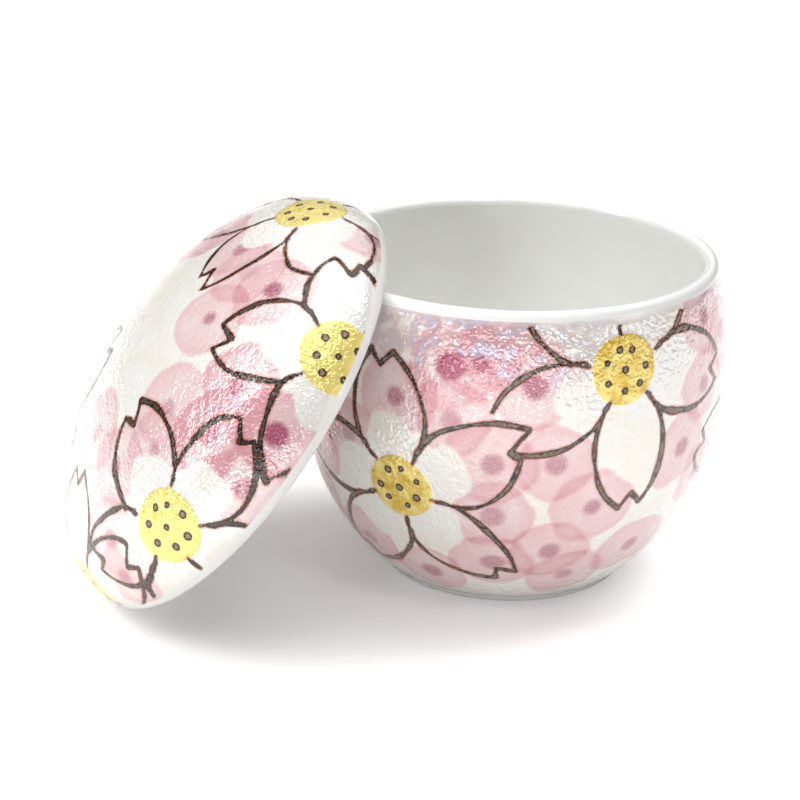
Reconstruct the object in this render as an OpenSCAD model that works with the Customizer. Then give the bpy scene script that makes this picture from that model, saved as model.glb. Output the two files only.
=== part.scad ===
// Chawanmushi cup with its loose lid.
// The cup stands on the table at the origin, +Z up. The lid is taken off: it stands on its edge
// to the cup's left (-X) and leans on the cup's rim with the locating ring under its dome.

/* [Cup] */
// Height of the cup, from the table to the top of its rim
cup_h = 64.7; // [56:0.1:76]
// Inside diameter of the mouth
mouth_d = 74.8; // [66:0.1:84]
// Thickness of the cup's wall, rounded over at the rim
cup_wall = 2.8; // [2.2:0.1:3.6]
// How far the belly stands out past the outside of the rim
belly_bulge = 2.7; // [1:0.1:6]
// Depth of the widest part of the belly below the rim
belly_drop = 20.3; // [14:0.1:26]
// How far below the foot the curve of the rounded bottom would close
bottom_sag = 5.4; // [2:0.1:12]
// Diameter of the flat part of the floor inside
floor_d = 32; // [16:0.5:40]
// Thickness of the floor
floor_t = 4; // [3:0.1:7]

/* [Foot ring] */
// Outside diameter of the foot ring
foot_d = 49; // [40:0.5:56]
// Height of the foot ring's upright side
foot_h = 0.8; // [0.4:0.1:2]
// Width of the flat that stands on the table
foot_land = 3; // [2:0.1:6]
// Depth of the recess inside the foot ring
foot_recess = 1.4; // [0.8:0.1:2.5]

/* [Lid] */
// How far the lid's edge stands out past the outside of the cup's rim
lid_overhang = 4.8; // [3.6:0.1:8]
// Height of the lid, from its edge to the top of its dome
lid_h = 27; // [23:0.1:34]
// Radius of the lid's shoulder
shoulder_r = 17; // [13:0.1:19]
// Thickness of the lid's wall, rounded over at its edge
lid_wall = 2.4; // [2:0.1:3]

/* [Locating ring under the lid] */
// Play between the ring and the cup's mouth
ring_play = 1.6; // [0.6:0.1:2.5]
// Width of the ring, measured along a radius
ring_w = 5.2; // [4.6:0.1:8]
// How deep the ring reaches below the cup's rim when the lid is on
ring_depth = 4; // [3:0.1:6]
// Rounding of the ring's lower corners
ring_round = 0.8; // [0.3:0.1:1.5]

/* [Arrangement] */
// Where the lid is
lid_place = "leaning"; // [leaning, seated]
// Slope of the leaning lid, measured from level
lean_angle = 53; // [46:0.5:58]
// Gap left between the lid and the rim that it rests on
rest_gap = 0.2; // [0.1:0.05:0.5]

/* [Hidden] */
$fn = 96;

glaze_white = [0.94, 0.89, 0.9];
glaze_pink = [0.93, 0.86, 0.88];

// Degrees of turn for each straight step of an arc
arc_step = 4.5;

// Points along an arc from angle a1 to angle a2, leaving out its first point
function arc(centre, r, a1, a2) =
    let (n = ceil(abs(a2 - a1) / arc_step))
    [for (i = [1 : n]) centre + r * unit(a1 + (a2 - a1) * i / n)];

// Unit vector at an angle from the X axis
function unit(a) = [cos(a), sin(a)];

// Points along a quarter of an ellipse, from its side at angle a1 to its underside at angle a2
function low_curve(centre, half, a1, a2) =
    let (n = ceil(abs(a2 - a1) / arc_step))
    [for (i = [1 : n]) let (p = unit(a1 + (a2 - a1) * i / n)) centre + [half.x * p.x, -half.y * p.y]];

// Angle of a vector from the X axis
function angle(v) = atan2(v.y, v.x);

// Cup: the side is an arc from the rim down to the belly, and part of an ellipse from there to the foot
rim_r = cup_wall / 2;
rim_c = [mouth_d / 2 + rim_r, cup_h - rim_r];
belly_r = rim_c.x + rim_r + belly_bulge;
belly_z = cup_h - belly_drop;
belly_up = rim_c.y - belly_z;
side_r = ((belly_bulge + rim_r) ^ 2 + belly_up ^ 2 - rim_r ^ 2) / (2 * belly_bulge);
side_c = [belly_r - side_r, belly_z];
rim_a = angle(rim_c - side_c);
low_h = belly_z - foot_h + bottom_sag;
foot_a = asin((belly_z - foot_h) / low_h);
low_w = (belly_r - foot_d / 2) / (1 - cos(foot_a));
low_c = [belly_r - low_w, belly_z];

// Hollow of the cup: an ellipse that runs out flat at the edge of the floor
floor_z = foot_recess + floor_t;
hollow_c = [floor_d / 2, belly_z];
hollow_half = [belly_r - cup_wall - floor_d / 2, belly_z - floor_z];

// Lid: a crown arc and a shoulder arc that is upright at the lid's rounded edge
edge_r = lid_wall / 2;
lid_r = rim_c.x + rim_r + lid_overhang;
edge_c = [lid_r - edge_r, edge_r];
shoulder_c = [lid_r - shoulder_r, edge_r];
dome_h = lid_h - edge_r;
crown_r = (shoulder_c.x ^ 2 + dome_h ^ 2 - shoulder_r ^ 2) / (2 * (dome_h - shoulder_r));
crown_c = [0, lid_h - crown_r];
crown_a = angle(shoulder_c - crown_c);

// Seat: height above the lid's edge of the rim's centre line when the lid is on
seat_reach = shoulder_r - lid_wall - rim_r - rest_gap;
seat_w = edge_r + sqrt(seat_reach ^ 2 - (rim_c.x - shoulder_c.x) ^ 2);
ring_out = mouth_d / 2 - ring_play;
ring_in = ring_out - ring_w;
ring_bottom = seat_w + rim_r - ring_depth;

// Leaning lid: its edge stands on the table, and it is drawn in until it all but meets the rim
lean_z = edge_r * (1 - cos(lean_angle)) + edge_c.x * sin(lean_angle);

// Distance from a point [r, w] of the lid's hollow to the ring, the shoulder, the crown and the edge
function ring_room(p) =
    let (half = ring_w / 2 - ring_round)
    let (across = max(abs(p.x - ring_in - ring_w / 2) - half, 0))
    norm([across, max(ring_bottom + ring_round - p.y, 0)]) - ring_round;
function dome_room(p) = p.y < edge_r
    ? norm(p - edge_c) - edge_r
    : min(
        p.x < shoulder_c.x ? crown_r : shoulder_r - lid_wall - norm(p - shoulder_c),
        crown_r - lid_wall - norm(p - crown_c)
    );

// Least room round the rim's centre line with the lid's centre at a distance from the cup's axis
rim_turns = [0 : 2 : 70];
function lean_point(far, a) =
    let (along = far - rim_c.x * cos(a), up = rim_c.y - lean_z)
    let (slope = cos(lean_angle) * along + sin(lean_angle) * up)
    [norm([slope, rim_c.x * sin(a)]), cos(lean_angle) * up - sin(lean_angle) * along];
function lean_room(far) = min([
    for (a = rim_turns)
        let (p = lean_point(far, a))
        min(ring_room(p), dome_room(p))
]);

// Nearest distance that leaves the rim its room, found by halving the span
function nearest(near, far, turns) =
    turns == 0
    ? far
    : let (middle = (near + far) / 2)
      lean_room(middle) < rim_r + rest_gap
      ? nearest(middle, far, turns - 1)
      : nearest(near, middle, turns - 1);
lean_x = nearest(rim_c.x, rim_c.x + lid_r, 24);

// Half section of the cup, from the axis under the floor round to the axis above it
module cup_section() {
    polygon(concat(
        [
            [0, foot_recess],
            [foot_d / 2 - foot_land - foot_recess, foot_recess],
            [foot_d / 2 - foot_land, 0],
            [foot_d / 2, 0],
            [foot_d / 2, foot_h]
        ],
        low_curve(low_c, [low_w, low_h], foot_a, 0),
        arc(side_c, side_r, 0, rim_a),
        arc(rim_c, rim_r, rim_a, rim_a + 180),
        arc(side_c, side_r - cup_wall, rim_a, 0),
        low_curve(hollow_c, hollow_half, 0, 90),
        [[0, floor_z]]
    ));
}

// Points of the dome's curve at a depth below its outside, from the top to the edge
function dome_points(depth) = concat(
    [[0, lid_h - depth]],
    arc(crown_c, crown_r - depth, 90, crown_a),
    arc(shoulder_c, shoulder_r - depth, crown_a, 0)
);

// Half section of the lid's shell, with its rounded edge
module shell_section() {
    inside = dome_points(lid_wall);
    polygon(concat(
        dome_points(0),
        arc(edge_c, edge_r, 0, -180),
        [for (i = [len(inside) - 2 : -1 : 0]) inside[i]]
    ));
}

// Half section of the locating ring, rooted in the middle of the dome's wall
module ring_section() {
    low_in = [ring_in + ring_round, ring_bottom + ring_round];
    low_out = [ring_out - ring_round, ring_bottom + ring_round];
    intersection() {
        polygon(concat(
            [[ring_in, lid_h]],
            [[ring_in, low_in.y]],
            arc(low_in, ring_round, 180, 270),
            [[low_out.x, ring_bottom]],
            arc(low_out, ring_round, 270, 360),
            [[ring_out, lid_h]]
        ));
        polygon(concat([[0, edge_r]], dome_points(lid_wall / 2)));
    }
}

// Porcelain cup: rounded wall, rim and foot ring in one piece
module cup() {
    color(glaze_white)
    rotate_extrude() cup_section();
}

// Porcelain lid with its locating ring, at its own edge's height
module lid_shape() {
    color(glaze_pink)
    union() {
        rotate_extrude() shell_section();
        rotate_extrude() ring_section();
    }
}

// The lid in its place
module lid() {
    if (lid_place == "seated")
        translate([0, 0, rim_c.y - seat_w]) lid_shape();
    else
        translate([-lean_x, 0, lean_z]) rotate([0, -lean_angle, 0]) lid_shape();
}

cup();
lid();
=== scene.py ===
"""Chawanmushi cup with its loose lid: porcelain painted with cherry blossoms under a pearly lustre.

The cup and the lid are turned from their half sections on a fine mesh. The painting is laid on that
mesh as named fields (distance to the nearest brush line, pink washes, yellow hearts), and shader
node groups turn the fields into colours. Sizes are in millimetres until a mesh is made.
"""
import logging
import math
from dataclasses import dataclass
from enum import Enum

import bpy
import numpy as np
from mathutils import Matrix, Vector


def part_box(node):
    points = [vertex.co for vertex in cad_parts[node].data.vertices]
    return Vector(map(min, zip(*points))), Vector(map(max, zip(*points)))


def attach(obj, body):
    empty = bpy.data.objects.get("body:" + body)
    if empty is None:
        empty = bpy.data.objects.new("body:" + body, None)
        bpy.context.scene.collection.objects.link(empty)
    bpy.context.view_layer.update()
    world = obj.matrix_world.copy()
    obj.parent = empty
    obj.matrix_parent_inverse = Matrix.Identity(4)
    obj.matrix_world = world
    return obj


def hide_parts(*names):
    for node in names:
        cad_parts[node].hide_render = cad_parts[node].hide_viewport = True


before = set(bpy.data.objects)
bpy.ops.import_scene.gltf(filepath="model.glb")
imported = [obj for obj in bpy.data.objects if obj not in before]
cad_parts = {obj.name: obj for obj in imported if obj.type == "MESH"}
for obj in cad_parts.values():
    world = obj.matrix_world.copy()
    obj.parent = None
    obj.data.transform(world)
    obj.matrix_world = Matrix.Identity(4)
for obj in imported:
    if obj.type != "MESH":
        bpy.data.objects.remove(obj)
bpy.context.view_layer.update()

LOG = logging.getLogger("chawanmushi")
# Metres in a millimetre
MM = 0.001
Array = np.ndarray
Pair = tuple[float, float]
Colour = tuple[float, float, float, float]
Socket = bpy.types.NodeSocket


def srgb(red: int, green: int, blue: int) -> Colour:
    """Turn a colour given as 0-255 values into the linear colour that shaders take.

    Args:
        red: Red level.
        green: Green level.
        blue: Blue level.

    Returns:
        The linear colour with full alpha.
    """
    levels = [value / 255 for value in (red, green, blue)]
    linear = [v / 12.92 if v <= 0.04045 else ((v + 0.055) / 1.055) ** 2.4 for v in levels]
    return (*linear, 1.0)


def smooth(value: Array, low: float, high: float) -> Array:
    """Rise smoothly from 0 at low to 1 at high."""
    t = np.clip((value - low) / (high - low), 0, 1)
    return t * t * (3 - 2 * t)


class Zone(Enum):
    """Surface of a step of a section; the value is its material's index."""

    PAINTED = 0
    GLAZED = 1
    BARE = 2


class Ripple:
    """Smooth random field in space, the sum of plane waves in random directions."""

    def __init__(self, seed: int, wave: float, count: int = 28) -> None:
        """Draw the waves.

        Args:
            seed: Seed of the random draw.
            wave: Mean wavelength in mm.
            count: Number of waves.
        """
        draw = np.random.default_rng(seed)
        ways = draw.normal(size=(count, 3))
        ways /= np.linalg.norm(ways, axis=1)[:, None]
        self.ways = ways * (2 * math.pi / (wave * draw.uniform(0.7, 1.5, count)))[:, None]
        self.phase = draw.uniform(0, 2 * math.pi, count)
        self.level = math.sqrt(2 / count)

    def at(self, points: Array) -> Array:
        """Work out the field at points.

        Args:
            points: Points in mm, one row each.

        Returns:
            The field, about -2 to 2.
        """
        total = np.zeros(len(points))
        for way, phase in zip(self.ways, self.phase):
            total += np.sin(points @ way + phase)
        return total * self.level


class Section:
    """Half section of a turned piece: points [radius, height] and the zone of each step."""

    # Distance in mm under which two points are one
    SAME = 0.01

    def __init__(self) -> None:
        """Start with no points."""
        self.points: list[Pair] = []
        self.zones: list[Zone] = []

    def run(self, points: Array, zone: Zone) -> None:
        """Go on through points, leaving out one that repeats the last.

        Args:
            points: Points [radius, height] in mm.
            zone: Surface of the steps to these points.
        """
        for radius, height in np.atleast_2d(points):
            point = (float(radius), float(height))
            if self.points and math.dist(point, self.points[-1]) < self.SAME:
                continue
            if self.points:
                self.zones.append(zone)
            self.points.append(point)

    def line(self, stop: Pair, step: float, zone: Zone) -> None:
        """Go on in a straight line.

        Args:
            stop: Point [radius, height] where the line ends.
            step: Length of a step in mm, about.
            zone: Surface of the line.
        """
        start = self.points[-1]
        count = max(1, round(math.dist(start, stop) / step))
        share = np.linspace(0, 1, count + 1)[1:, None]
        self.run(np.array(start) * (1 - share) + np.array(stop) * share, zone)


def arc(centre: Pair, half: Pair, start: float, stop: float, step: float) -> Array:
    """Points along an arc of an ellipse with level axes.

    Args:
        centre: Centre [radius, height].
        half: Half widths along the radius and along the height.
        start: First angle in degrees, from the outward direction towards up.
        stop: Last angle in degrees.
        step: Length of a step in mm.

    Returns:
        The points, one row each.
    """
    count = max(2, math.ceil(math.radians(abs(stop - start)) * max(half) / step))
    angles = np.radians(np.linspace(start, stop, count + 1))
    across = centre[0] + half[0] * np.cos(angles)
    return np.column_stack((across, centre[1] + half[1] * np.sin(angles)))


def round_arc(centre: Pair, radius: float, start: float, stop: float, step: float) -> Array:
    """Points along an arc of a circle, given like an ellipse's."""
    return arc(centre, (radius, radius), start, stop, step)


class Canvas:
    """Outside of a turned piece, with places given as an angle and a length along its section.

    Beyond an open end the outside goes straight on, so that a brush line that runs over the edge
    leaves it and is not drawn along it.
    """

    # Length in mm of that straight stretch
    BEYOND = 40.0
    # Least radius in mm at which a drawing's width is turned into an angle
    LEAST_RADIUS = 3.0

    def __init__(self, line: Array, zero: float) -> None:
        """Measure the section's line.

        Args:
            line: Points [radius, height] of the painted outside, which runs up on the picture.
            zero: Direction of angle 0, in degrees from the piece's X axis.
        """
        steps = np.linalg.norm(np.diff(line, axis=0), axis=1)
        self.rows = np.concatenate(([0.0], np.cumsum(steps)))
        self.end = float(self.rows[-1])
        self.closed = bool(line[-1, 0] < 1e-6)
        before = line[0] + (line[0] - line[1]) / steps[0] * self.BEYOND
        after = line[-1] + (line[-1] - line[-2]) / steps[-1] * self.BEYOND
        if self.closed:
            after = line[-1]
        self.line = np.vstack((before, line, after))
        self.along = np.concatenate(([-self.BEYOND], self.rows, [self.end + self.BEYOND]))
        self.zero = zero

    def place(self, angle: Array, along: Array) -> Array:
        """Find places on the outside.

        Args:
            angle: Angles in degrees.
            along: Lengths along the section in mm.

        Returns:
            The points in mm.
        """
        radius = np.interp(along, self.along, self.line[:, 0])
        height = np.interp(along, self.along, self.line[:, 1])
        turn = np.radians(np.asarray(angle) + self.zero)
        return np.stack((radius * np.cos(turn), radius * np.sin(turn), height), axis=-1)

    def around(self, heart: Pair, flat: Array) -> Array:
        """Lay a flat drawing on the outside.

        Args:
            heart: Angle and length along the section of the drawing's origin.
            flat: Points [right, up] of the drawing in mm.

        Returns:
            The points on the outside.
        """
        along = heart[1] + flat[:, 1]
        radius = np.interp(along, self.along, self.line[:, 0])
        angle = heart[0] + np.degrees(flat[:, 0] / np.maximum(radius, self.LEAST_RADIUS))
        return self.place(angle, along)


class Tip(Enum):
    """How a petal's outline ends; the value is how far each lobe is from its middle, in half widths."""

    NOTCHED = 0.32
    OPEN = 0.55


@dataclass(frozen=True)
class Petal:
    """One petal: its direction in degrees from the drawing's right, its length and half width.

    The lean is how much longer than its length the left lobe is, and how much shorter the right one.
    """

    way: float
    length: float = 24.5
    width: float = 7.8
    lean: float = 0.0
    tip: Tip = Tip.NOTCHED


@dataclass(frozen=True)
class Blossom:
    """A cherry blossom: its heart's place, its petals, its heart's radius and its lines' weight."""

    angle: float
    along: float
    petals: tuple[Petal, ...]
    heart: float
    weight: float


@dataclass(frozen=True)
class Dab:
    """A round dab of pink wash: its place, its radius, and the radius and tone of the dot in its middle.

    The depth is how strong the wash is.
    """

    angle: float
    along: float
    radius: float
    dot: float
    tone: float
    depth: float = 1.0


def five(way: float, length: float) -> tuple[Petal, ...]:
    """Give five equal petals, the first in a direction."""
    return tuple(Petal(way + 72 * turn, length) for turn in range(5))


def wavy(share: Array, parts: tuple[Pair, ...], starts: Array) -> Array:
    """Add up waves along a stroke, each with a rate and a size."""
    return sum(size * np.sin(rate * share + start) for (rate, size), start in zip(parts, starts))


class Painting:
    """Painted fields on the points of one outside."""

    # Value in mm of a distance field where nothing is near
    FAR = -9.0
    # Mean wavelength in mm of the paint's uneven edges
    SWAY = 9.0
    # How far beyond a brush line its distance is worked out, in mm
    MARGIN = 1.6
    # Distance in mm from a heart's middle at which two petals part
    JOIN = 11.0
    # White bed of a petal: rounds at shares of its length, and their radii in mm
    BED = ((0.0, 7.6), (0.16, 6.0), (0.28, 6.0), (0.36, 5.6))
    # Least and greatest half width in mm of a petal's sides, its notch and the line to the heart
    SIDE = (0.58, 0.78)
    NOTCH = (0.55, 0.7)
    TRUNK = (0.5, 0.66)
    # Waves of the unsteady hand in mm, and of the line's width in shares of it
    SHAKE = ((6, 0.13), (15, 0.05))
    SWELL = ((7, 0.24), (19, 0.1))
    # Seeds in a heart's ring, the ring's radius in shares of the heart's, and a seed's radius in mm
    SEEDS = 7
    SEED_RING = 0.62
    SEED = (0.7, 0.92)
    # A dab's darker rim: its distance inside the edge and its half width, in mm
    RIM = (0.9, 0.7)
    # Strength of a dab's body, and of its rim on top of that
    BODY = (0.72, 0.3)
    # Distance in mm from one scattered dab to the next
    PITCH = 13.5

    def __init__(self, canvas: Canvas, points: Array, seed: int) -> None:
        """Start with a bare surface.

        Args:
            canvas: The outside that is painted.
            points: Points of the mesh on it, in mm.
            seed: Seed of the brush's unsteadiness.
        """
        self.canvas = canvas
        self.points = points
        self.draw = np.random.default_rng(seed)
        self.sway = Ripple(seed + 1, self.SWAY).at(points)
        self.ink = np.full(len(points), self.FAR)
        self.heart = np.full(len(points), self.FAR)
        self.seed = np.full(len(points), self.FAR)
        self.wash = np.zeros(len(points))
        self.dot = np.zeros(len(points))
        self.reserve = np.zeros(len(points))
        # Painted sheen: where tints of the lustre's iridescent reflection are painted into the colour
        self.painted_sheen = np.zeros(len(points))

    def near(self, low: Array, high: Array, reach: float) -> Array:
        """Give the indices of the points in a box, widened by a reach."""
        inside = (self.points > low - reach) & (self.points < high + reach)
        return np.flatnonzero(inside.all(axis=1))

    def stroke(self, path: Array, half: Array) -> None:
        """Draw a brush line.

        Args:
            path: Points along the line, in mm.
            half: Half its width at each of them.
        """
        found = self.near(path.min(axis=0), path.max(axis=0), half.max() + self.MARGIN)
        if not found.size:
            return
        spots = self.points[found]
        best = np.full(len(spots), self.FAR)
        for index in range(len(path) - 1):
            span = path[index + 1] - path[index]
            share = np.clip((spots - path[index]) @ span / max(span @ span, 1e-9), 0, 1)
            gap = np.linalg.norm(spots - path[index] - share[:, None] * span, axis=1)
            best = np.maximum(best, half[index] + share * (half[index + 1] - half[index]) - gap)
        self.ink[found] = np.maximum(self.ink[found], best)

    def brush(self, heart: Pair, flat: Array, thick: float, ends: Pair = (0.8, 0.9)) -> None:
        """Draw a line of a flat drawing with a slightly unsteady hand.

        Args:
            heart: Place of the drawing's origin.
            flat: Points [right, up] along the line, in mm.
            thick: Half width in the line's middle.
            ends: Share of that width at the line's start and end.
        """
        share = np.linspace(0, 1, len(flat))
        phase = self.draw.uniform(0, 2 * math.pi, 4)
        shake = wavy(share, self.SHAKE, phase[:2])
        across = np.gradient(flat, axis=0)[:, ::-1] * (1, -1)
        across /= np.maximum(np.linalg.norm(across, axis=1), 1e-6)[:, None]
        swell = 1 + wavy(share, self.SWELL, phase[2:])
        half = thick * swell * np.interp(share, (0, 0.3, 0.75, 1), (ends[0], 1, 1, ends[1]))
        self.stroke(self.canvas.around(heart, flat + across * shake[:, None]), half)

    def petal(self, flower: Blossom, petal: Petal, spread: Pair) -> None:
        """Draw one petal: its two sides, and the notch between its lobes.

        Args:
            flower: Blossom that the petal belongs to.
            petal: The petal.
            spread: Angles from its middle to where it parts from the next petals, left and right.
        """
        turn = math.radians(petal.way)
        axes = np.array(((math.cos(turn), math.sin(turn)), (-math.sin(turn), math.cos(turn))))
        heart = (flower.angle, flower.along)
        lobes = []
        for side, angle in zip((1, -1), spread):
            part = math.radians(angle)
            reach = petal.length * self.draw.uniform(0.98, 1.02) + side * petal.lean
            lobe = np.array((reach, side * petal.tip.value * petal.width))
            # A side is a cubic curve: where it parts from the next petal, two handles, and its lobe
            knots = np.array((
                (self.JOIN * math.cos(part), side * self.JOIN * math.sin(part)),
                (0.25 * petal.length + 6, side * 1.14 * petal.width),
                (0.8 * reach, side * 1.12 * petal.width),
                lobe,
            ))
            t = np.linspace(0, 1, 30)[:, None]
            weights = np.hstack(((1 - t) ** 3, 3 * t * (1 - t) ** 2, 3 * t * t * (1 - t), t ** 3))
            self.brush(heart, weights @ knots @ axes, flower.weight * self.draw.uniform(*self.SIDE))
            lobes.append(lobe)
        if petal.tip is Tip.NOTCHED:
            ends = [lobe[0] for lobe in lobes]
            depth = min(sum(ends) / 2 - self.draw.uniform(2.6, 3.4), min(ends) - 0.8)
            deep = np.array((depth, self.draw.uniform(-0.7, 0.7)))
            back = np.linspace(0, 1, 8)[:, None]
            falls = lobes[0] * (1 - back) + deep * back
            rises = deep * (1 - back) + lobes[1] * back
            fold = np.vstack((falls, rises[1:]))
            self.brush(heart, fold @ axes, flower.weight * self.draw.uniform(*self.NOTCH), (0.9, 0.9))

    def blossom(self, flower: Blossom) -> None:
        """Paint one blossom: its petals, the lines between them, its heart and its seeds.

        Args:
            flower: The blossom.
        """
        place = (flower.angle, flower.along)
        middle = self.canvas.place(np.array(flower.angle), np.array(flower.along))
        gap = np.linalg.norm(self.points - middle, axis=1)
        petals = sorted(flower.petals, key=lambda petal: petal.way % 360)
        for index, petal in enumerate(petals):
            after = (petals[(index + 1) % len(petals)].way - petal.way) % 360 / 2
            before = (petal.way - petals[index - 1].way) % 360 / 2
            self.petal(flower, petal, (after, before))
            side = math.radians(petal.way + after)
            reach = np.linspace(flower.heart + self.draw.uniform(-0.4, 0.5), self.JOIN, 8)[:, None]
            trunk = reach * np.array((math.cos(side), math.sin(side)))
            self.brush(place, trunk, flower.weight * self.draw.uniform(*self.TRUNK), (0.5, 1.0))
            way = math.radians(petal.way)
            inner = np.array((math.cos(way), math.sin(way)))
            for share, radius in self.BED:
                spot = self.canvas.around(place, inner[None] * share * petal.length)[0]
                away = np.linalg.norm(self.points - spot, axis=1) + 0.5 * self.sway
                self.reserve = np.maximum(self.reserve, smooth(radius - away, -0.4, 0.5))
        self.heart = np.maximum(self.heart, flower.heart - gap - 0.12 * self.sway)
        ring = self.draw.uniform(0, 2 * math.pi)
        for index in range(self.SEEDS + 1):
            reach = 0.0
            if index < self.SEEDS:
                reach = self.SEED_RING * flower.heart * self.draw.uniform(0.9, 1.08)
            angle = ring + (index + self.draw.uniform(-0.15, 0.15)) * 2 * math.pi / self.SEEDS
            flat = np.array(((reach * math.cos(angle), reach * math.sin(angle)),))
            spot = self.canvas.around(place, flat)[0]
            away = np.linalg.norm(self.points - spot, axis=1)
            self.seed = np.maximum(self.seed, self.draw.uniform(*self.SEED) - away)

    def dab(self, dab: Dab) -> None:
        """Lay one round of wash, with a darker rim and a dark dot in its middle.

        Args:
            dab: The round.
        """
        middle = self.canvas.place(np.array(dab.angle), np.array(dab.along))
        away = np.linalg.norm(self.points - middle, axis=1)
        gap = away + 0.45 * self.sway
        inset, wide = self.RIM
        rim = np.exp(-(((gap - dab.radius + inset) / wide) ** 2))
        body = smooth(dab.radius - gap, -0.3, 0.4)
        self.wash += dab.depth * body * (self.BODY[0] + self.BODY[1] * rim)
        self.dot = np.maximum(self.dot, dab.tone * smooth(dab.dot - away - 0.15 * self.sway, -0.6, 0.7))

    def scatter(self, angles: Pair, rows: tuple[float, ...]) -> None:
        """Lay dabs in uneven rows over a part that has none of its own.

        Args:
            angles: First and last angle in degrees.
            rows: Lengths along the section of the rows.
        """
        for row, along in enumerate(rows):
            radius = float(np.interp(along, self.canvas.along, self.canvas.line[:, 0]))
            step = math.degrees(self.PITCH / radius)
            for angle in np.arange(angles[0] + step * (row % 2) / 2, angles[1], step):
                self.dab(Dab(
                    angle=float(angle + step * self.draw.uniform(-0.25, 0.25)),
                    along=along + self.draw.uniform(-2.5, 2.5),
                    radius=self.draw.uniform(6.8, 8.8),
                    dot=self.draw.uniform(1.5, 2.2),
                    tone=self.draw.uniform(0.55, 0.95),
                    depth=self.draw.uniform(0.75, 1.05),
                ))

    def lay_painted_sheen(self, low: float, high: float, waves: int, peak: float) -> None:
        """Lay the mask of the painted sheen over the upper part, in waves round the piece: tints that
        stand for the lustre's iridescent reflection.

        Args:
            low: Height in mm where it starts.
            high: Height where it is full.
            waves: Number of waves round the piece.
            peak: Angle in degrees of one wave's crest.
        """
        angle = np.degrees(np.arctan2(self.points[:, 1], self.points[:, 0])) - self.canvas.zero
        around = 0.5 + 0.5 * np.cos(np.radians(waves * (angle - peak)))
        self.painted_sheen = smooth(self.points[:, 2] + 1.5 * self.sway, low, high) * around

    def trim(self, edge: Array, margin: float) -> None:
        """Stop the brush lines short of the painted part's ends, along a wavy line.

        Args:
            edge: Distance of each point from the nearest open end, in mm.
            margin: Mean distance at which the lines stop.
        """
        self.ink = np.minimum(self.ink, edge - margin + 0.3 * self.sway)


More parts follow.
